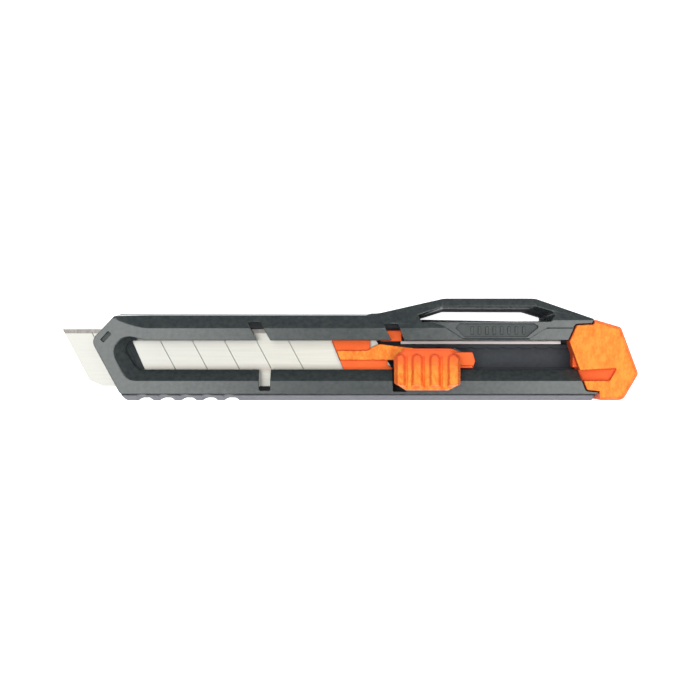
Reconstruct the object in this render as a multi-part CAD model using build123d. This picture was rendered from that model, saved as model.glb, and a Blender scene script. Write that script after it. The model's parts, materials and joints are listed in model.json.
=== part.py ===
from build123d import *
import os

os.makedirs("parts", exist_ok=True)

# A snap-off knife for 18 mm blades, in millimetres. It lies on its back: z = 0 is the
# back of the handle and the slider side faces +Z. The blade's tip points to -X, its
# cutting edge is on the +Y side, and y = 0 is the middle of the blade's width.

# Handle
handle_thickness = 14.0
split_height = 7.0
top_y = 13.85
hump_y = 18.55
front_bottom_y = -11.35
flange_top_y = -11.9
flange_bottom_y = -13.75
wall_draft = 0.13
nose_corner = (-80.6, 5.4, 3.0)
nose_slope = 0.54
back_edge_chamfer = 1.0
shoulder_y = 9.15
shoulder_slope = 0.6
hump_slope = 0.38
fade_rise = 4.5
nose_mark_depth = 1.0

# Blade
blade_width = 18.0
blade_thickness = 0.5
blade_bottom = 6.75
blade_top = blade_bottom + blade_thickness
edge_bevel = 1.35
tip_x = -90.8
segment_pitch = 10.1
first_score_x = -77.3
score_count = 7
lean = 0.532
score_width = 0.22
score_depth = 0.1
tang_hole_radius = 3.0
tang_hole_x = 3.0
peg_radius = 2.95

# Channel that the blade and its carrier run in
channel_half_width = blade_width / 2 + 0.25
blade_floor = 6.6
nose_slot_top = 7.6
lip_underside = 9.3
channel_start_x = -66.0
window_top_y = 5.3
window_bottom_y = -3.7
bevel_depth = 3.0
groove_start_x = -44.0
groove_end_x = 69.0
groove_floor = 4.2
groove_bottom_y = -3.3

# Lock rack, moulded in the groove, and the steel guide rail behind it
rack_y = (2.8, 4.2)
rack_top = 5.5
tooth_pitch = segment_pitch / 2
tooth_radius = 1.2
pawl_x = 33.0
rail_y = (4.2, 5.25)
rail_top = 6.3
rail_x = (15.8, 66.5)

# Label
label_bars = 8

# Slider
plate_top = 8.9
rib_top = 10.2
arm_top = 11.2
keel_bottom = 4.7
pad_bottom = 15.2
pad_base = 17.0
pad_top = 18.4
pocket_floor = 8.2
button_stroke_room = 1.1
stem_clearance = 0.3

# End cap
cap_top = 14.9
cap_gap = 0.3
cap_edge = 0.9
snap_slot_depth = 0.8

far = 95.0


def rounded(corners):
    """A closed outline through (x, y, corner radius) points."""
    outline = make_face(Polyline(*[(x, y) for x, y, _ in corners], close=True))
    for x, y, radius in corners:
        if radius:
            corner = outline.vertices().sort_by_distance(Vector(x, y, 0))[0]
            outline = fillet(corner, radius)
    return outline


def slab(outline, low, high):
    """A flat outline made solid between two heights."""
    return extrude(Pos(0, 0, low) * outline, high - low, dir=(0, 0, 1))


def block(x_range, y_range, z_range):
    """A box between two corners."""
    size = [high - low for low, high in (x_range, y_range, z_range)]
    middle = [(high + low) / 2 for low, high in (x_range, y_range, z_range)]
    return Pos(*middle) * Box(*size)


def section_across_y(points, start_y, end_y):
    """An (x, z) outline made solid along Y."""
    plane = Plane(origin=(0, start_y, 0), x_dir=(1, 0, 0), z_dir=(0, -1, 0))
    return extrude(plane * make_face(Polyline(*points, close=True)), start_y - end_y)


def section_along_x(points, start_x, end_x):
    """A (y, z) outline made solid along X."""
    plane = Plane(origin=(start_x, 0, 0), x_dir=(0, 1, 0), z_dir=(1, 0, 0))
    return extrude(plane * make_face(Polyline(*points, close=True)), end_x - start_x)


# ---------------------------------------------------------------- end cap outlines

def cap_plate_outline():
    """The cap's face, which steps forward over the open rear of the front shell."""
    return rounded([
        (76.1, 11.85, 0), (84.1, 9.5, 1.3), (89.5, -5.0, 1.6), (84.7, -13.2, 2.6),
        (77.4, -13.2, 0), (78.7, -11.7, 0.5), (77.6, -10.4, 0.7), (73.4, -10.0, 0.6),
        (67.9, 5.0, 0.4), (70.3, 10.1, 0.8), (75.6, 10.3, 0.8)])


def cap_base_outline():
    """The cap behind the end of the back shell."""
    return rounded([
        (76.1, 11.85, 0), (84.1, 9.5, 1.3), (89.5, -5.0, 1.6), (84.7, -13.2, 2.6),
        (77.4, -13.2, 0)])


# ------------------------------------------------------------------------- handle

def nose_x(y):
    """The slanted front edge of the handle below its nose corner."""
    return nose_corner[0] + nose_slope * (nose_corner[1] - y)


def section_loft(stations):
    """A solid through (x, [(y, z), ...]) sections with straight lines between them."""
    sections = []
    for x, points in stations:
        plane = Plane(origin=(x, 0, 0), x_dir=(0, 1, 0), z_dir=(1, 0, 0))
        sections.append(plane * make_face(Polyline(*points, close=True)))
    return loft(sections, ruled=True)


def handle_outline(bottom_y, corner_radius, toe, rear):
    """The handle's outline down to the given lower edge, with its own rear corners.
    Its lower front corner stands forward by the toe."""
    return rounded([
        nose_corner, (-72.6, top_y, 3.0), (8.6, top_y, 12.0), (29.3, hump_y, 6.0),
        (57.8, hump_y, 6.0), *rear, (nose_x(bottom_y) - toe, bottom_y, corner_radius)])


def shoulder_cut():
    """The sloping shoulder along the cutting-edge side. It is steep beside the blade,
    shallow over the hump, and fades out towards the nose."""
    fade_start_x = -77.0
    fade_length = 14.0
    fade_steps = 14
    start_slope = 0.02
    slopes = []
    for step in range(fade_steps):
        part = step / fade_steps
        slopes.append((fade_start_x + fade_length * part, shoulder_y + fade_rise * (1 - part) ** 1.5,
                       start_slope + (shoulder_slope - start_slope) * part ** 0.6))
    slopes += [(fade_start_x + fade_length, shoulder_y, shoulder_slope), (9.0, shoulder_y, shoulder_slope),
               (24.0, shoulder_y, hump_slope), (far, shoulder_y, hump_slope)]
    outer_y = 22.0
    above = handle_thickness + 1
    stations = []
    for x, land_y, slope in slopes:
        drop = handle_thickness - slope * (outer_y - land_y)
        stations.append((x, [(land_y, handle_thickness), (land_y, above), (outer_y, above), (outer_y, drop)]))
    return section_loft(stations)


def upper_wall_cut():
    """The draft of the side wall above the split, from the nose to the foot of the hump."""
    high = handle_thickness
    inner_y = top_y - wall_draft * (high - split_height)
    wall = [(top_y, split_height), (inner_y, high), (16, high), (16, split_height)]
    clear = [(18.5, split_height), (18.5, high), (19.5, high), (19.5, split_height)]
    return section_loft([(-far, wall), (5.0, wall), (21.0, clear)])


def window_outline():
    """The long opening over the blade. It runs out at the rear, under the cap."""
    return rounded([
        (-72.4, window_top_y, 2.6), (-66.8, window_bottom_y, 3.5),
        (far, window_bottom_y, 0), (far, window_top_y, 0)])


def window_bevel():
    """The slope round the window's nose end and along its lower side. Its upper edge
    runs back into the window's own edge."""
    meet_x = -63.5
    inner = rounded([(-72.4, window_top_y, 2.6), (-66.8, window_bottom_y, 3.5),
                     (far, window_bottom_y, 0), (far, window_top_y, 0), (meet_x, window_top_y, 0)])
    outer = rounded([(-77.7, 8.8, 4.8), (-69.7, -7.2, 5.0), (far, -7.2, 0),
                     (far, window_top_y + 0.1, 0), (meet_x, window_top_y + 0.1, 0)])
    slope = loft([Pos(0, 0, handle_thickness - bevel_depth) * inner, Pos(0, 0, handle_thickness) * outer],
                 ruled=True)
    return slope + slab(outer, handle_thickness, handle_thickness + 1)


def nose_tongue():
    """A sloping ledge at the window's nose end, close over the blade."""
    rise = 2.8
    run = 3.8
    edge_lean = 0.44
    start_y = window_top_y + 1
    profile = Plane(origin=(-69.1, start_y, nose_slot_top), x_dir=(1, edge_lean, 0), z_dir=(edge_lean, -1, 0))
    wedge = make_face(Polyline((0, 0), (0, -0.3), (run, -0.3), (run, rise), close=True))
    return extrude(profile * mirror(wedge, Plane.YZ), 12)


def notches():
    """Four slots across the lips, two on each side of the window."""
    upper_front = rounded([(-32.2, 11.2, 0.6), (-28.7, 4.8, 0), (-24.6, 4.8, 0), (-28.2, 11.2, 0.6)])
    upper_rear = rounded([(10.2, 10.6, 0.6), (13.1, 4.8, 0), (17.0, 4.8, 0), (14.7, 10.6, 0.6)])
    lower_front = rounded([(-28.5, -3.2, 0), (-28.4, -10.2, 0.4), (-25.0, -10.2, 0.4), (-24.9, -3.2, 0)])
    lower_rear = rounded([(13.2, -3.2, 0), (13.2, -10.5, 0.4), (17.4, -10.5, 0.4), (17.4, -3.2, 0)])
    cuts = Part()
    for outline in (upper_front, upper_rear, lower_front, lower_rear):
        cuts += slab(outline, split_height, handle_thickness + 1)
    return cuts


def hang_slot():
    """The long slot through the hump. Its walls open towards the front."""
    narrow = rounded([(21.3, 12.0, 0.4), (29.2, 14.5, 0.8), (54.6, 14.4, 0.8), (60.3, 12.7, 0.4),
                      (60.3, 11.5, 0.4), (22.2, 11.5, 0.3)])
    wide = rounded([(20.9, 13.3, 0.4), (29.0, 16.2, 1.0), (58.6, 16.2, 1.0), (64.2, 14.3, 1.2),
                    (62.6, 11.3, 0.8), (22.2, 11.2, 0.3)])
    throat_height = 4.0
    mouth_height = 12.4
    throat = slab(narrow, -1, throat_height)
    flare = loft([Pos(0, 0, throat_height) * narrow, Pos(0, 0, mouth_height) * wide], ruled=True)
    mouth = slab(wide, mouth_height, handle_thickness + 1)
    return throat + flare + mouth


def label_panel():
    """A step round the label, and the label's own pocket with its plain raised bars."""
    step_floor = 13.1
    pocket_floor = 12.2
    step = slab(rounded([(24.9, 12.4, 0), (34.8, 5.85, 1.5), (55.6, 5.85, 1.5), (61.2, 9.2, 2.0),
                         (80, 9.2, 0), (80, 20, 0), (24.9, 20, 0)]), step_floor, handle_thickness + 1)
    pocket = slab(rounded([(32.7, 9.4, 0.6), (33.9, 10.6, 0.6), (57.2, 10.6, 0.6), (58.9, 9.7, 0.6),
                           (54.9, 6.4, 0.8), (35.4, 6.4, 0.8)]), pocket_floor, handle_thickness)
    bars = Part()
    for number in range(label_bars):
        centre = Pos(46.0 + 2.3 * (number - (label_bars - 1) / 2), 8.5)
        bars += slab(centre * RectangleRounded(0.9, 2.5, 0.3), pocket_floor - 1, pocket_floor + 0.35)
    return step + (pocket - bars)


def nose_mark():
    """A small blind recess beside the nose's upper slope."""
    outline = Pos(-76.0, 6.5) * Rot(0, 0, 48) * RectangleRounded(3.6, 1.35, 0.2)
    return slab(outline, handle_thickness - nose_mark_depth, handle_thickness + 1)


def front_shell():
    """The slider-side half of the handle, with the window and the lips over the blade."""
    rear = [(77.6, 11.5, 0), (79.5, front_bottom_y, 0)]
    shell = slab(handle_outline(front_bottom_y, 1.6, 0, rear), split_height, handle_thickness)
    shell -= upper_wall_cut()
    shell -= shoulder_cut()
    shell -= slab(window_outline(), split_height - 1, handle_thickness + 1)
    shell -= window_bevel()
    shell -= block((channel_start_x, far), (-channel_half_width, channel_half_width), (6, lip_underside))
    shell += nose_tongue()
    shell -= block((-far, far), (-channel_half_width, channel_half_width), (6, nose_slot_top))
    shell -= notches()
    shell -= hang_slot()
    shell -= label_panel()
    shell -= nose_mark()
    for outline in (cap_plate_outline(), cap_base_outline()):
        shell -= slab(offset(outline, cap_gap), 5, 20)
    return shell


def finger_notches():
    """Five scoops in the lower wall under the nose, deepest at the parting line."""
    radius = 3.0
    cuts = Part()
    for number in range(5):
        axis = Plane(origin=(-66.0 + 6.85 * number, -14.45, split_height), z_dir=(-0.14, 0.2, 1))
        cuts += axis * Cylinder(radius, 30)
    return cuts


def back_grip():
    """Shallow grooves across the back, on either side of its flat middle."""
    groove = 0.5
    cuts = Part()
    for side in (-1, 1):
        for number in range(7):
            x = side * (22.0 + 4.5 * number)
            outline = Pos(x, 0) * Rot(0, 0, -28) * SlotOverall(17, 1.4)
            cuts += slab(outline, -1, groove)
    return cuts


def back_shell():
    """The rear half of the handle: the blade's bed, the slider's groove with its lock
    rack, and the drafted lower wall, which stands out past the front half."""
    rear = [(75.8, 12.1, 0), (77.1, flange_bottom_y, 0)]
    shell = slab(handle_outline(flange_bottom_y, 1.2, 1.2, rear), 0, split_height)
    bottom = shell.faces().sort_by(Axis.Z)[0]
    shell = chamfer(bottom.edges(), back_edge_chamfer)
    foot = back_edge_chamfer
    shell -= section_loft([(x, [(flange_top_y, split_height + 0.01), (flange_bottom_y, foot),
                                (flange_bottom_y - 3, foot), (flange_bottom_y - 3, split_height + 0.01)])
                           for x in (-far, far)])
    shell -= block((-far, far), (flange_top_y, front_bottom_y), (split_height - 1, 8))
    shell -= block((-far, far), (-channel_half_width, channel_half_width), (blade_floor, 8))
    groove = block((groove_start_x, far), (groove_bottom_y, rail_y[1]), (groove_floor, 8))
    rack = block((groove_start_x - 1, groove_end_x), rack_y, (groove_floor - 1, rack_top))
    for number in range(-14, 7):
        x = pawl_x + number * tooth_pitch
        rack -= Pos(x, rack_y[0] - 0.7, rack_top) * Cylinder(tooth_radius, 4)
    shell -= groove - rack
    shell -= hang_slot()
    shell -= finger_notches()
    shell -= back_grip()
    return shell


def guide_rail():
    """A steel strip on edge behind the rack, along the rear half of the groove."""
    return block(rail_x, rail_y, (groove_floor, rail_top))


# ------------------------------------------------------------------------- slider

def blade():
    """The snap-off blade, with its ground edge, score lines and tang hole."""
    half = blade_width / 2
    heel_y = -7.2
    outline = make_face(Polyline((tip_x, half), (tip_x + lean * (half - heel_y), heel_y),
                                 (tip_x + 12.9, -half), (12.9, -half), (12.6, -2.6), (6.0, half), close=True))
    steel = slab(outline, blade_bottom, blade_top)
    middle = (blade_bottom + blade_top) / 2
    edge_half_thickness = 0.03
    for side in (-1, 1):
        face = middle + side * blade_thickness / 2
        edge = middle + side * edge_half_thickness
        steel -= section_along_x([(half - edge_bevel, face), (half, edge), (half + 1, edge),
                                  (half + 1, face + side), (half - edge_bevel, face + side)], -far, far)
    for number in range(score_count):
        score = make_face(Polyline((0, 0), (score_width / 2, score_depth), (-score_width / 2, score_depth),
                                   close=True))
        x = first_score_x + segment_pitch * number
        plane = Plane(origin=(x - lean * blade_width, blade_width, blade_top - score_depth),
                      x_dir=(1, lean, 0), z_dir=(lean, -1, 0))
        steel -= extrude(plane * score, 3 * blade_width)
    steel -= Pos(tang_hole_x, 0, middle) * Cylinder(tang_hole_radius, 3)
    return steel


def blade_carrier():
    """The slider's base: a plate over the blade's tail, a peg in its hole and an arm behind."""
    plate = slab(rounded([(-7.3, 8.5, 0.3), (-0.15, -8.5, 0.3), (13.2, -8.5, 0.3), (13.2, -3.2, 0),
                          (11.6, -2.4, 0), (11.6, 1.0, 0), (6.3, 1.0, 0), (6.3, 6.4, 0.6), (9.6, 6.4, 0.6),
                          (9.6, 5.1, 0), (16.1, 5.1, 0.3), (16.1, 8.5, 0.3)]), blade_top, plate_top)
    arm = slab(rounded([(-4.4, 2.2, 0.3), (-3.2, -0.75, 0.3), (13.6, -0.75, 0), (13.6, -3.3, 0),
                        (38.4, -3.3, 0.5), (39.0, -1.0, 0), (38.2, 1.7, 0.6), (34.2, 1.7, 0), (32.0, 2.8, 0),
                        (21.0, 2.8, 0), (12.1, 3.9, 0), (9.3, 4.3, 0), (7.2, 3.5, 0), (5.4, 2.2, 0)]),
               blade_top, rib_top)
    tail = slab(rounded([(30.4, 1.7, 0), (38.2, 1.7, 0.6), (39.0, -1.0, 0), (38.6, -2.5, 0.4),
                         (30.4, -2.5, 0)]), blade_top, arm_top)
    keel = block((17.0, 34.0), (-2.9, 0.65), (keel_bottom, blade_top))
    peg = Pos(tang_hole_x, 0, (blade_bottom + blade_top) / 2) * Cylinder(peg_radius, blade_thickness)
    carrier = plate + arm + tail + keel + peg
    pocket = block((19.0 - stem_clearance, 29.0 + stem_clearance),
                   (-2.3 - stem_clearance, 1.4 + stem_clearance), (pocket_floor, rib_top + 1))
    return carrier - pocket


def thumb_button():
    """The ribbed thumb pad, over the lower lip, on a stem in the carrier's pocket."""
    rim = 0.8
    corners = [(13.5, 0.1), (17.0, 2.8), (30.6, 2.8), (34.0, 0.2), (34.0, -8.0), (30.4, -10.1), (17.1, -10.1),
               (13.5, -7.7)]
    outline = rounded([(x, y, rim) for x, y in corners])
    pad = slab(outline, pad_bottom, pad_base)
    ridges = Part()
    for low_x, high_x in ((13.0, 17.0), (17.9, 22.2), (23.1, 27.8), (28.7, 35.0)):
        ridge = rounded([(low_x, 1.6, 0.9), (high_x, 1.6, 0.9), (high_x, -9.4, 0.3), (low_x, -9.4, 0.3)])
        ridges += slab(ridge, pad_base, pad_top)
    pad += ridges & slab(offset(outline, -rim), pad_base - 1, pad_top)
    stem = block((19.0, 29.0), (-2.3, 1.4), (pocket_floor + button_stroke_room, pad_bottom))
    return pad + stem


def lock_spring():
    """A leaf on the keel's side whose tooth sits in a notch of the rack."""
    leaf = make_face(Polyline(
        (18.0, 0.65), (18.0, 1.0), (29.4, 1.0), (32.4, 2.65), (pawl_x, 3.15), (33.6, 2.65), (36.0, 1.5),
        (35.8, 1.2), (33.5, 2.25), (pawl_x, 2.65), (32.6, 2.25), (29.6, 0.65), close=True))
    return slab(leaf, keel_bottom + 0.1, rack_top - 0.2)


def end_cap():
    """The pull-off cap, with the snapping slot in its face and a plug in the channel."""
    cap = slab(cap_plate_outline(), split_height + cap_gap, cap_top)
    cap += slab(cap_base_outline(), 0, cap_top)
    top = cap.faces().sort_by(Axis.Z)[-1]
    cap = chamfer([edge for edge in top.edges() if edge.center().X > 79], cap_edge)
    plug_low = blade_floor + cap_gap
    cap += block((70.5, 78.5), (-8.8, 8.8), (plug_low, lip_underside - cap_gap))
    cap += block((69.3, 78.5), (-3.0, 1.4), (plug_low, 12.0))
    slot = rounded([(69.0, -4.0, 0), (82.6, -3.3, 0.3), (80.4, -7.1, 0.3), (69.0, -7.1, 0)])
    ramp_floor = section_across_y([(69, cap_top - snap_slot_depth - 4.6), (83, cap_top - snap_slot_depth),
                                   (83, 20), (69, 20)], -20, 20)
    cap -= slab(slot, 8, cap_top + 1) & ramp_floor
    return cap


makers = [front_shell, back_shell, guide_rail, blade, blade_carrier, thumb_button, lock_spring, end_cap]
for maker in makers:
    export_step(maker(), f"parts/{maker.__name__}.step")
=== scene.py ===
import json
import math
import bmesh
import bpy
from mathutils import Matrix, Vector
from mathutils.bvhtree import BVHTree

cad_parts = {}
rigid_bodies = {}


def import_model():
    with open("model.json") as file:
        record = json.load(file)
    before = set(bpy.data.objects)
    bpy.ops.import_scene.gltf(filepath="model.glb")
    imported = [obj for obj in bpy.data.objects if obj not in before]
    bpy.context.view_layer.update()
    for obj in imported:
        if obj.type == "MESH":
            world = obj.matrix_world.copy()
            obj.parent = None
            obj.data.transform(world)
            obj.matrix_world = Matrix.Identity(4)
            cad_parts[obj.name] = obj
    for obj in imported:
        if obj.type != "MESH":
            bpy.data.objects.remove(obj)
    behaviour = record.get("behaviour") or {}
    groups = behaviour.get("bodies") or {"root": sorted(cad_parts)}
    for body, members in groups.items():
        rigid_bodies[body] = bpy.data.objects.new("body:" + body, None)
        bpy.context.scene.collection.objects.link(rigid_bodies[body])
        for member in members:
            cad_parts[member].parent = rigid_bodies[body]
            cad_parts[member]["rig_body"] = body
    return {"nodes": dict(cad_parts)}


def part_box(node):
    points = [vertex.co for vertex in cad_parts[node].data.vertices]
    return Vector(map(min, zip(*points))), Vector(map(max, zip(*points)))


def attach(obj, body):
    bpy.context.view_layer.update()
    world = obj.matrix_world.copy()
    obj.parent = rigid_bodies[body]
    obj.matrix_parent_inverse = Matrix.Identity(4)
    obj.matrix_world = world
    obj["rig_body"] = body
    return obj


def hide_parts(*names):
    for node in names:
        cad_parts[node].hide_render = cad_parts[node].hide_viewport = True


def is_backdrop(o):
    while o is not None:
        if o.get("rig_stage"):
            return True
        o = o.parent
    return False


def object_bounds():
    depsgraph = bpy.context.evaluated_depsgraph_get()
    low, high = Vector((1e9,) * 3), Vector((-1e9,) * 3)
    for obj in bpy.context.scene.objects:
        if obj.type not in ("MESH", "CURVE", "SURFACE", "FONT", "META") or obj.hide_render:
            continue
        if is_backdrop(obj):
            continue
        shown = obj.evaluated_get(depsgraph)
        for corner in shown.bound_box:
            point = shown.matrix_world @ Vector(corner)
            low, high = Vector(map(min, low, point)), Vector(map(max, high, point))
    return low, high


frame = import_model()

cad_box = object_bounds()
MM = 0.001

# Areas of fine edges: centre x, centre y, half length and half width, in millimetres
LABEL_BARS = (46.0, 8.5, 14.5, 2.4)
NOSE_MARK = (-76.0, 6.5, 2.0, 2.0)
CAP_CORNER = (77.4, -11.7, 1.6, 1.6)

# Boxes round the floors of the two pockets: low corner and high corner, in millimetres
LABEL_POCKET = ((32.0, 5.9, 11.5), (60.0, 11.0, 12.9))
MARK_POCKET = ((-78.0, 4.5, 12.5), (-74.0, 8.5, 13.5))

WHITE = (1.0, 1.0, 1.0)
BLACK = (0.0, 0.0, 0.0)


# ---------------------------------------------------------------- materials

def new_material(name):
    """An empty node material and its node tree helper."""
    material = bpy.data.materials.new(name)
    material.use_nodes = True
    tree = material.node_tree
    tree.nodes.clear()
    output = tree.nodes.new("ShaderNodeOutputMaterial")
    shader = tree.nodes.new("ShaderNodeBsdfPrincipled")
    tree.links.new(shader.outputs["BSDF"], output.inputs["Surface"])
    return material, tree, shader


def noise(tree, scale, detail=3.0, stretch=(1, 1, 1), roughness=0.5):
    """Noise in object space, with its scale in lumps per metre."""
    coords = tree.nodes.new("ShaderNodeTexCoord")
    mapping = tree.nodes.new("ShaderNodeMapping")
    mapping.inputs["Scale"].default_value = stretch
    texture = tree.nodes.new("ShaderNodeTexNoise")
    texture.inputs["Scale"].default_value = scale
    texture.inputs["Detail"].default_value = detail
    texture.inputs["Roughness"].default_value = roughness
    tree.links.new(coords.outputs["Object"], mapping.inputs["Vector"])
    tree.links.new(mapping.outputs["Vector"], texture.inputs["Vector"])
    return texture.outputs["Fac"]


def ramp(tree, value, stops):
    """A colour ramp over a value: stops are (position, colour)."""
    node = tree.nodes.new("ShaderNodeValToRGB")
    elements = node.color_ramp.elements
    while len(elements) < len(stops):
        elements.new(0.5)
    for element, (position, colour) in zip(elements, stops):
        element.position = position
        element.color = (*colour, 1)
    tree.links.new(value, node.inputs["Fac"])
    return node.outputs["Color"]


def spread(tree, value, low, high):
    """A value from 0 to 1 mapped to a range."""
    node = tree.nodes.new("ShaderNodeMapRange")
    node.inputs["To Min"].default_value = low
    node.inputs["To Max"].default_value = high
    tree.links.new(value, node.inputs["Value"])
    return node.outputs["Result"]


def bump(tree, shader, height, distance, strength, before=None):
    """A bump from a height, with its depth in metres, on top of the bump before it."""
    node = tree.nodes.new("ShaderNodeBump")
    node.inputs["Distance"].default_value = distance
    node.inputs["Strength"].default_value = strength
    tree.links.new(height, node.inputs["Height"])
    if before is not None:
        tree.links.new(before, node.inputs["Normal"])
    tree.links.new(node.outputs["Normal"], shader.inputs["Normal"])
    return node.outputs["Normal"]


def masked(tree, axis, low, high):
    """0 to 1 as a point goes from low to high along an axis, in metres in the knife's frame."""
    coords = tree.nodes.new("ShaderNodeTexCoord")
    parts = tree.nodes.new("ShaderNodeSeparateXYZ")
    tree.links.new(coords.outputs["Object"], parts.inputs["Vector"])
    node = tree.nodes.new("ShaderNodeMapRange")
    node.inputs["From Min"].default_value = low
    node.inputs["From Max"].default_value = high
    tree.links.new(parts.outputs[axis], node.inputs["Value"])
    return node.outputs["Result"]


def mixed(tree, factor, first, second):
    """A colour from first to second by a factor; each is a socket or a colour."""
    node = tree.nodes.new("ShaderNodeMix")
    node.data_type = "RGBA"
    tree.links.new(factor, node.inputs["Factor"])
    for name, value in (("A", first), ("B", second)):
        socket = [i for i in node.inputs if i.name == name and i.type == "RGBA"][0]
        if isinstance(value, tuple):
            socket.default_value = (*value, 1)
        else:
            tree.links.new(value, socket)
    return [o for o in node.outputs if o.type == "RGBA"][0]


def blended(tree, factor, first, second):
    """A value from first to second by a factor."""
    node = tree.nodes.new("ShaderNodeMix")
    tree.links.new(factor, node.inputs["Factor"])
    tree.links.new(first, node.inputs["A"])
    tree.links.new(second, node.inputs["B"])
    return node.outputs["Result"]


def multiplied(tree, values):
    """The product of values."""
    product = values[0]
    for value in values[1:]:
        node = tree.nodes.new("ShaderNodeMath")
        node.operation = "MULTIPLY"
        tree.links.new(product, node.inputs[0])
        tree.links.new(value, node.inputs[1])
        product = node.outputs["Value"]
    return product


def scratches(tree, scale, stretch, thin):
    """Fine scratches: the thin bright lines of a stretched noise."""
    value = noise(tree, scale, 2, stretch)
    return ramp(tree, value, [(0.5 - thin, BLACK), (0.5, WHITE), (0.5 + thin, BLACK)])


def black_plastic(name, roughness):
    """Satin black, rougher down inside the handle than on its outer faces and darker and bluer there as
    painted shade, and a painted sheen of light grey, the white floor's reflection, on the lower wall
    that stands out under the fingers."""
    material, tree, shader = new_material(name)
    shader.inputs["IOR"].default_value = 1.52
    blotch = noise(tree, 120, 4)
    mottle = noise(tree, 700, 4, (1, 1, 1), 0.6)
    grain = noise(tree, 3200, 2)
    scored = spread(tree, scratches(tree, 300, (0.15, 1.6, 1), 0.012), 0, 0.1)
    outer = ramp(tree, mottle, [(0.3, (0.016, 0.021, 0.023)), (0.7, (0.032, 0.037, 0.036))])
    # inner is painted shade: a darker, bluer black for the channel down inside the handle, where little
    # light reaches
    inner = ramp(tree, mottle, [(0.3, (0.010, 0.012, 0.018)), (0.7, (0.018, 0.020, 0.027))])
    # painted sheen: the lower wall is made light grey to stand for the white floor's reflection
    painted_sheen = ramp(tree, mottle, [(0.3, (0.09, 0.09, 0.105)), (0.7, (0.13, 0.13, 0.15))])
    at_outside = masked(tree, "Z", 6.7 * MM, 9.0 * MM)
    at_lower_wall = masked(tree, "Y", -11.7 * MM, -12.0 * MM)
    colour = mixed(tree, at_outside, inner, mixed(tree, scored, outer, (0.07, 0.075, 0.075)))
    colour = mixed(tree, at_lower_wall, colour, painted_sheen)
    tree.links.new(colour, shader.inputs["Base Color"])
    outer_gloss = spread(tree, blotch, roughness - 0.04, roughness + 0.04)
    inner_gloss = spread(tree, blotch, 0.7, 0.8)
    tree.links.new(blended(tree, at_outside, inner_gloss, outer_gloss), shader.inputs["Roughness"])
    waves = bump(tree, shader, mottle, 0.03 * MM, 0.4)
    bump(tree, shader, grain, 0.015 * MM, 0.6, waves)
    return material


def orange_plastic(name, faces):
    """Glossy moulded orange, mottled and scratched: painted shade, redder, in its walls and hollows, and
    painted highlight, towards yellow with mottled glints, on its lit faces. Faces are (axis, red below,
    yellow above) in millimetres."""
    material, tree, shader = new_material(name)
    shader.inputs["IOR"].default_value = 1.52
    shader.inputs["Specular Tint"].default_value = (0.9, 0.72, 0.12, 1)
    blotch = noise(tree, 160, 4)
    mottle = noise(tree, 640, 5, (1, 0.6, 1), 0.65)
    lit_face = multiplied(tree, [masked(tree, axis, low * MM, high * MM) for axis, low, high in faces])
    # lit and shaded copies of one orange: red is painted shade, yellow with mottled flecks is painted
    # highlight
    shaded_red = ramp(tree, blotch, [(0.3, (0.64, 0.068, 0.024)), (0.7, (0.70, 0.088, 0.03))])
    lit_yellow = ramp(tree, mottle, [(0.38, (0.62, 0.095, 0.018)), (0.62, (0.69, 0.185, 0.034))])
    tree.links.new(mixed(tree, lit_face, shaded_red, lit_yellow), shader.inputs["Base Color"])
    face_gloss = spread(tree, mottle, 0.02, 0.5)
    deep_gloss = spread(tree, mottle, 0.4, 0.7)
    tree.links.new(blended(tree, lit_face, deep_gloss, face_gloss), shader.inputs["Roughness"])
    marks = bump(tree, shader, scratches(tree, 500, (1, 0.22, 1), 0.04), 0.03 * MM, 0.6)
    bump(tree, shader, noise(tree, 900, 4, (1, 1, 1), 0.6), 0.1 * MM, 0.8, marks)
    return material


def blade_steel():
    """Bright polished sides with a painted brown shade where the handle's lower lip meets the blade, and
    the ground bevel darker and brushed across."""
    material, tree, shader = new_material("blade_steel")
    shader.inputs["Metallic"].default_value = 1.0
    long_lines = noise(tree, 1500, 3, (0.03, 1, 1))
    cross_lines = noise(tree, 1500, 3, (1, 0.03, 1))
    front = ramp(tree, long_lines, [(0.3, (0.225, 0.218, 0.206)), (0.7, (0.245, 0.238, 0.226))])
    rear = ramp(tree, long_lines, [(0.3, (0.29, 0.275, 0.25)), (0.7, (0.315, 0.3, 0.275))])
    side = mixed(tree, masked(tree, "X", -60 * MM, -8 * MM), front, rear)
    ground = ramp(tree, cross_lines, [(0.3, (0.105, 0.095, 0.088)), (0.7, (0.16, 0.147, 0.139))])
    # painted shade: a brown band along the window's lower lip, only on the part of the blade that lies
    # in the handle
    painted_lip_shade = ramp(tree, masked(tree, "Y", -1.8 * MM, -5.2 * MM),
                [(0.0, BLACK), (0.57, (0.4, 0.4, 0.4)), (1.0, BLACK)])
    in_handle = masked(tree, "X", -70 * MM, -62 * MM)
    side = mixed(tree, multiplied(tree, [painted_lip_shade, in_handle]), side, (0.12, 0.085, 0.07))
    edge_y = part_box("blade")[1][1]
    at_edge = masked(tree, "Y", edge_y - 1.4 * MM, edge_y - 1.34 * MM)
    tree.links.new(mixed(tree, at_edge, side, ground), shader.inputs["Base Color"])
    tree.links.new(spread(tree, long_lines, 0.3, 0.38), shader.inputs["Roughness"])
    bump(tree, shader, cross_lines, 0.004 * MM, 0.3)
    return material


def steel(name, darker, lighter, roughness):
    """Steel brushed along the knife, between two colours."""
    material, tree, shader = new_material(name)
    shader.inputs["Metallic"].default_value = 1.0
    brushed = noise(tree, 900, 3, (0.04, 1, 1))
    tree.links.new(ramp(tree, brushed, [(0.3, darker), (0.7, lighter)]), shader.inputs["Base Color"])
    tree.links.new(spread(tree, brushed, roughness - 0.06, roughness + 0.06), shader.inputs["Roughness"])
    return material


# ---------------------------------------------------------------- finer pieces

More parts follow.
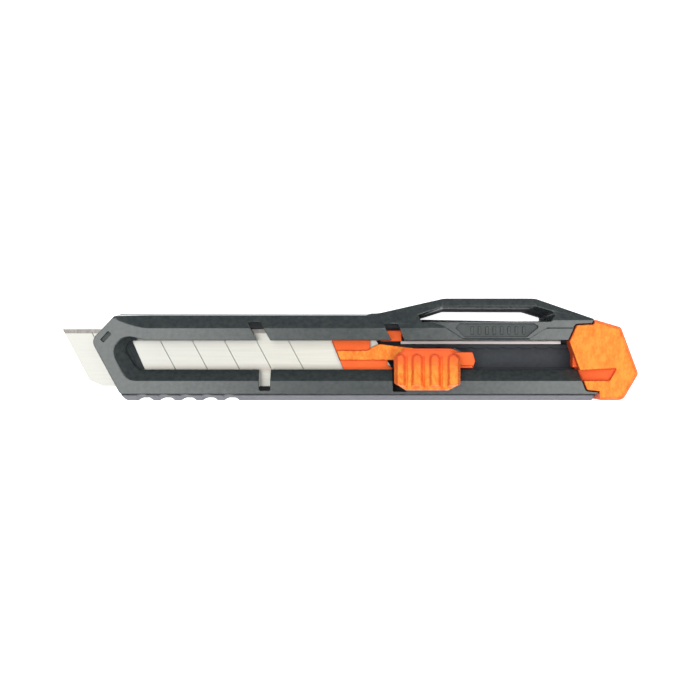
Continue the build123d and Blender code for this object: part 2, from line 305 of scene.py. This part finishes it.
def round_edges(build, edges, width, segments=2):
    """Edges rounded by a width in millimetres."""
    bmesh.ops.bevel(build, geom=[edge for edge in edges if edge.is_valid], offset=width * MM,
                    segments=segments, profile=0.5, affect="EDGES", clamp_overlap=False, loop_slide=True,
                    miter_outer="ARC", spread=0.1 * width * MM)


def snap_back(build, surface, reach):
    """Vertices that a rounding threw off the surface, by more than a reach, go back to it."""
    for vert in build.verts:
        place, _, _, gap = surface.find_nearest(vert.co)
        if gap > reach * MM:
            vert.co = place


def unfold(build):
    """Slivers that a rounding folded over the face beside them close up at their short side."""
    def is_folded(edge):
        return edge.calc_face_angle(0) > math.radians(179) and edge.calc_length() > 2 * MM

    slivers = [face for face in build.faces if sum(is_folded(edge) for edge in face.edges) > 1]
    short_sides = dict.fromkeys(min(face.edges, key=lambda edge: edge.calc_length()) for face in slivers)
    bmesh.ops.collapse(build, edges=[edge for edge in short_sides if edge.calc_length() < 0.5 * MM])


def is_level(mesh, polygon):
    """Whether a face lies flat, at one height."""
    heights = [mesh.vertices[index].co.z for index in polygon.vertices]
    return max(heights) - min(heights) < 0.001 * MM


def shade(mesh, angle, level):
    """Smooth shading in which large faces stay flat: each corner takes the area-weighted normal,
    and the corners of level faces take their face's own."""
    mesh.polygons.foreach_set("use_smooth", [True] * len(mesh.polygons))
    mesh.set_sharp_from_angle(angle=math.radians(angle))
    helper = bpy.data.objects.new("helper", mesh)
    bpy.context.scene.collection.objects.link(helper)
    weighted = helper.modifiers.new("weighted", "WEIGHTED_NORMAL")
    weighted.keep_sharp = True
    weighted.weight = 100
    shaded = bpy.data.meshes.new_from_object(helper.evaluated_get(bpy.context.evaluated_depsgraph_get()))
    normals = [tuple(corner.vector) for corner in shaded.corner_normals]
    for polygon in mesh.polygons:
        if level and is_level(mesh, polygon):
            for corner in polygon.loop_indices:
                normals[corner] = tuple(polygon.normal)
    mesh.normals_split_custom_set(normals)
    bpy.data.meshes.remove(shaded)
    bpy.data.objects.remove(helper)


def add_piece(mesh, node, name, materials, angle, level=True):
    """A finished mesh that stands in for a CAD piece and rides on its body. Edges sharper than
    the angle stay sharp."""
    indices = [polygon.material_index for polygon in mesh.polygons]
    mesh.materials.clear()
    for material in materials:
        mesh.materials.append(material)
    mesh.polygons.foreach_set("material_index", indices if len(materials) > 1 else [0] * len(indices))
    shade(mesh, angle, level)
    piece = bpy.data.objects.new(name, mesh)
    bpy.context.scene.collection.objects.link(piece)
    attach(piece, frame["nodes"][node]["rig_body"])
    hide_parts(node)


def split_by_area(edges, area):
    """The edges with their middle in an area, and the others."""
    x, y, half_length, half_width = area

    def is_inside(edge):
        middle = (edge.verts[0].co + edge.verts[1].co) / (2 * MM)
        return abs(middle.x - x) < half_length and abs(middle.y - y) < half_width

    edges = [edge for edge in edges if edge.is_valid]
    return [e for e in edges if is_inside(e)], [e for e in edges if not is_inside(e)]


def triangulate_large(build):
    """Faces of more than four corners cut into triangles."""
    large = [face for face in build.faces if len(face.verts) > 4]
    bmesh.ops.triangulate(build, faces=large, ngon_method="EAR_CLIP")


def mark_textured(build, boxes):
    """The upward faces inside the boxes take the second material."""
    for face in build.faces:
        middle = face.calc_center_median() / MM
        within = any(all(low[i] < middle[i] < high[i] for i in range(3)) for low, high in boxes)
        face.material_index = 1 if within and face.normal.z > 0.9 else 0


def dress(node, material, width=0.3, angle=25, fine=(), textured=None, smooth=35):
    """A finer copy of a CAD piece, with its sharp edges rounded, in its finished material.
    fine: (area, rounding in mm) pairs for areas with a smaller rounding of their own.
    textured: a second material and the boxes of the faces that take it."""
    mesh = frame["nodes"][node].data.copy()
    build = bmesh.new()
    build.from_mesh(mesh)
    bmesh.ops.remove_doubles(build, verts=build.verts, dist=0.02 * MM)
    bmesh.ops.dissolve_limit(build, angle_limit=math.radians(0.15), verts=build.verts, edges=build.edges)
    surface = BVHTree.FromBMesh(build)
    sharp = [edge for edge in build.edges if edge.calc_face_angle(0) > math.radians(angle)]
    for area, rounding in fine:
        inner, sharp = split_by_area(sharp, area)
        round_edges(build, inner, rounding, 1)
    if width:
        round_edges(build, sharp, width)
        snap_back(build, surface, 0.5 * width)
    bmesh.ops.dissolve_degenerate(build, dist=0.01 * MM, edges=build.edges)
    triangulate_large(build)
    bmesh.ops.recalc_face_normals(build, faces=build.faces)
    unfold(build)
    materials = [material]
    if textured:
        mark_textured(build, textured[1])
        materials.append(textured[0])
    build.to_mesh(mesh)
    build.free()
    add_piece(mesh, node, node + "_fine", materials, smooth)


# ---------------------------------------------------------------- thumb button

def rounded_distance(x, y, corners, radius):
    """How far inside a rounded convex outline a point is, and the outline point nearest to it.
    The corners run clockwise and are already inset by the radius."""
    inner = math.inf
    nearest = None
    nearest_gap = math.inf
    for (ax, ay), (bx, by) in zip(corners, corners[1:] + corners[:1]):
        along_x, along_y = bx - ax, by - ay
        length = math.hypot(along_x, along_y)
        inner = min(inner, ((x - ax) * along_y - (y - ay) * along_x) / length)
        part = max(0.0, min(1.0, ((x - ax) * along_x + (y - ay) * along_y) / length ** 2))
        px, py = ax + part * along_x, ay + part * along_y
        gap = math.hypot(x - px, y - py)
        if gap < nearest_gap:
            nearest_gap, nearest = gap, (px, py)
    if inner >= 0:
        return inner + radius, None
    reach = radius / nearest_gap
    edge = (nearest[0] + (x - nearest[0]) * reach, nearest[1] + (y - nearest[1]) * reach)
    return radius - nearest_gap, edge


def swell(inside, reach):
    """A rounded rise from 0 at an edge to 1 at a reach inside it."""
    part = max(0.0, min(1.0, inside / reach))
    return math.sqrt(1 - (1 - part) ** 2)


def ease(inside, reach):
    """A soft rise from 0 at an edge to 1 at a reach inside it, level at both ends."""
    part = max(0.0, min(1.0, inside / reach))
    return part * part * (3 - 2 * part)


def ridge_height(x, y, left, right, top, bottom):
    """One arched ridge, from 0 at its foot to 1 on its crest, round at its top end."""
    side_reach, foot_reach = 0.9, 1.0
    radius = (right - left) / 2
    if y > top - radius:
        return ease(radius - math.hypot(x - (left + radius), y - (top - radius)), side_reach)
    return min(ease(x - left, side_reach), ease(right - x, side_reach), ease(y - bottom, foot_reach))


def pad_layout():
    """The thumb pad's sizes in millimetres, from the button's own box."""
    low, high = [[value / MM for value in corner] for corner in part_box("thumb_button")]
    (left, bottom, foot), (right, top, crest) = low, high
    rim = 0.9
    return {
        "left": left, "right": right, "bottom": bottom, "top": top, "foot": foot, "rim": rim,
        "corners": [(left + rim, top - 2.9), (left + 3.8, top - rim), (right - 3.7, top - rim),
                    (right - rim, top - 3.0), (right - rim, bottom + 2.4), (right - 4.0, bottom + rim),
                    (left + 3.9, bottom + rim), (left + rim, bottom + 2.7)],
        "ridges": [(left + 0.3, left + 3.6), (left + 5.2, left + 8.9), (left + 10.7, left + 14.4),
                   (left + 16.3, left + 20.3)],
        "face": crest - 1.4, "base": crest - 3.2, "ridge": 1.4}


def pad_surface(pad, x, y, depth):
    """The pad's height at a point, which lies a depth inside its outline."""
    ridge_top, ridge_bottom = pad["top"] - 1.4, pad["bottom"] + 0.9
    rise = max(ridge_height(x, y, left, right, ridge_top, ridge_bottom) for left, right in pad["ridges"])
    groove_middle, groove_half, groove_depth = 0.25, 0.42, 0.45
    groove = 0.0
    if pad["bottom"] + 1.0 < y < pad["top"] - 2.2:
        groove = max(ease(groove_half - abs(x - right - groove_middle), groove_half)
                     for _, right in pad["ridges"][:3])
    tilt = 0.3 * max(0.0, y - pad["bottom"] - 7.6)
    rounding = 0.8
    edge = rounding * (1 - swell(depth, rounding))
    return pad["face"] + pad["ridge"] * rise * (1 - edge) - groove_depth * groove - tilt - edge


def pad_grid(build, pad):
    """The pad's top as a fine grid of squares, drawn in to its outline at the border."""
    step = 0.13
    columns = int((pad["right"] - pad["left"]) / step) + 3
    rows = int((pad["top"] - pad["bottom"]) / step) + 3
    grid = {}
    for i in range(columns):
        for j in range(rows):
            x, y = pad["left"] - step + i * step, pad["bottom"] - step + j * step
            depth, edge = rounded_distance(x, y, pad["corners"], pad["rim"])
            if depth < 0 and edge is not None:
                if depth < -1.5 * step:
                    continue
                x, y = edge
                depth = 0.0
            height = pad_surface(pad, x, y, depth)
            grid[i, j] = (build.verts.new((x * MM, y * MM, height * MM)), depth)
    for i in range(columns - 1):
        for j in range(rows - 1):
            square = [grid.get(key) for key in ((i, j), (i + 1, j), (i + 1, j + 1), (i, j + 1))]
            if None in square or max(depth for _, depth in square) <= 0.001:
                continue
            build.faces.new([vert for vert, _ in square])
    bmesh.ops.delete(build, geom=[v for v in build.verts if not v.link_faces], context="VERTS")
    bmesh.ops.remove_doubles(build, verts=build.verts, dist=0.01 * MM)


def thumb_pad():
    """The thumb button as one fine surface: four arched ridges on a rounded eight-sided pad,
    closed below, and the stem that goes down into the carrier."""
    pad = pad_layout()
    build = bmesh.new()
    pad_grid(build, pad)
    border = [edge for edge in build.edges if edge.is_boundary]
    skirt = bmesh.ops.extrude_edge_only(build, edges=border)["geom"]
    for vert in (item for item in skirt if isinstance(item, bmesh.types.BMVert)):
        vert.co.z = pad["base"] * MM
    bmesh.ops.holes_fill(build, edges=[e for e in build.edges if e.is_boundary], sides=0)
    stem = bmesh.ops.create_cube(build, size=1.0)["verts"]
    stem_low, stem_high = (19.0, -2.3, pad["foot"]), (29.0, 1.4, pad["base"] + 0.3)
    for vert in stem:
        vert.co = Vector([(stem_low[k] if vert.co[k] < 0 else stem_high[k]) * MM for k in range(3)])
    bmesh.ops.recalc_face_normals(build, faces=build.faces)
    bmesh.ops.triangulate(build, faces=[f for f in build.faces if len(f.verts) > 4])
    mesh = bpy.data.meshes.new("thumb_pad")
    build.to_mesh(mesh)
    build.free()
    add_piece(mesh, "thumb_button", "thumb_pad", [button_orange], 75, level=False)


# ---------------------------------------------------------------- the knife

black = black_plastic("black_plastic", 0.21)
label_black = black_plastic("label_black", 0.62)
# The masks put painted shade, red, low in the carrier and on its tail, on the button's upper part and in
# the cap's slot, and painted highlight, yellow, on the faces that catch the light.
carrier_orange = orange_plastic("carrier_orange", [("Z", 9.2, 10.0), ("X", 34.0, 20.0)])
button_orange = orange_plastic("button_orange", [("Y", 1.0, -5.0)])
cap_orange = orange_plastic("cap_orange", [("Z", 14.2, 14.7)])
bright_steel = blade_steel()
rail_steel = steel("spring_steel", (0.22, 0.19, 0.19), (0.28, 0.245, 0.245), 0.3)
dark_steel = steel("dark_steel", (0.05, 0.05, 0.055), (0.08, 0.08, 0.085), 0.4)
dress("front_shell", black, 0.22, 18, fine=[(LABEL_BARS, 0.07), (NOSE_MARK, 0.07)],
      textured=(label_black, [LABEL_POCKET, MARK_POCKET]))
dress("back_shell", black, 0.15)
dress("guide_rail", rail_steel, 0.12)
dress("blade", bright_steel, 0, smooth=3)
dress("blade_carrier", carrier_orange, 0.25)
thumb_pad()
dress("lock_spring", dark_steel, 0)
dress("end_cap", cap_orange, 0.3, fine=[(CAP_CORNER, 0.12)])


# ---------------------------------------------------------------- floor, lights and camera

def build_floor():
    """A white floor, just under the knife."""
    half = 3.0
    below_knife = 0.2 * MM
    mesh = bpy.data.meshes.new("floor")
    points = [(-half, -half, 0), (half, -half, 0), (half, half, 0), (-half, half, 0)]
    mesh.from_pydata(points, [], [(0, 1, 2, 3)])
    floor = bpy.data.objects.new("floor", mesh)
    bpy.context.scene.collection.objects.link(floor)
    material, tree, shader = new_material("floor_white")
    tint = ramp(tree, noise(tree, 3), [(0.3, (0.86, 0.86, 0.86)), (0.7, (0.88, 0.88, 0.88))])
    tree.links.new(tint, shader.inputs["Base Color"])
    shader.inputs["Roughness"].default_value = 0.8
    shader.inputs["Specular IOR Level"].default_value = 0.0
    shader.inputs["Emission Color"].default_value = (0.97, 0.97, 1.0, 1)
    shader.inputs["Emission Strength"].default_value = 0.75
    mesh.materials.append(material)
    floor.location.z = cad_box[0][2] - below_knife
    floor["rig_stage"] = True


def softbox(name, place, target, size, radiance, colour):
    """A rectangular light of a given brightness, facing a target."""
    light = bpy.data.lights.new(name, "AREA")
    light.shape = "RECTANGLE"
    light.size, light.size_y = size
    light.color = colour
    light.energy = radiance * math.pi * size[0] * size[1]
    lamp = bpy.data.objects.new(name, light)
    lamp.location = place
    lamp.rotation_euler = (Vector(target) - Vector(place)).to_track_quat("-Z", "Y").to_euler()
    bpy.context.scene.collection.objects.link(lamp)


def build_lights():
    """Bright softboxes over the knife's two ends, a dim one between them, one low in front, and
    a dim world."""
    green_white = (0.97, 1.0, 0.97)
    pink_white = (1.0, 0.98, 1.0)
    height = 1.5
    for name, x, width, radiance in (("left", -0.54, 0.8, 5.2), ("middle", 0.02, 0.3, 0.4),
                                     ("right", 0.58, 0.8, 5.2)):
        softbox(name, (x, 0, height), (x, 0, 0), (width, 1.9), radiance, green_white)
    softbox("front", (0.9, -1.2, 0.8), (0, 0, 0), (1.0, 0.8), 3.0, pink_white)
    world = bpy.data.worlds.new("studio")
    world.use_nodes = True
    background = world.node_tree.nodes["Background"]
    background.inputs["Color"].default_value = (0.88, 0.91, 1.0, 1)
    background.inputs["Strength"].default_value = 0.27
    bpy.context.scene.world = world


def build_camera():
    """The camera, straight above the middle of the knife."""
    low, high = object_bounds()
    sensor_width = 36.0
    distance = 0.45
    seen_width = 0.2174
    knife_face = 14.0 * MM
    aside = 0.6 * MM
    camera = bpy.data.cameras.new("camera")
    camera.sensor_width = sensor_width
    camera.lens = sensor_width * distance / seen_width
    rig = bpy.data.objects.new("camera", camera)
    rig.location = ((low[0] + high[0]) / 2 + aside, (low[1] + high[1]) / 2, distance + knife_face)
    bpy.context.scene.collection.objects.link(rig)
    bpy.context.scene.camera = rig


build_floor()
build_lights()
build_camera()
bpy.context.scene.view_settings.view_transform = "Standard"
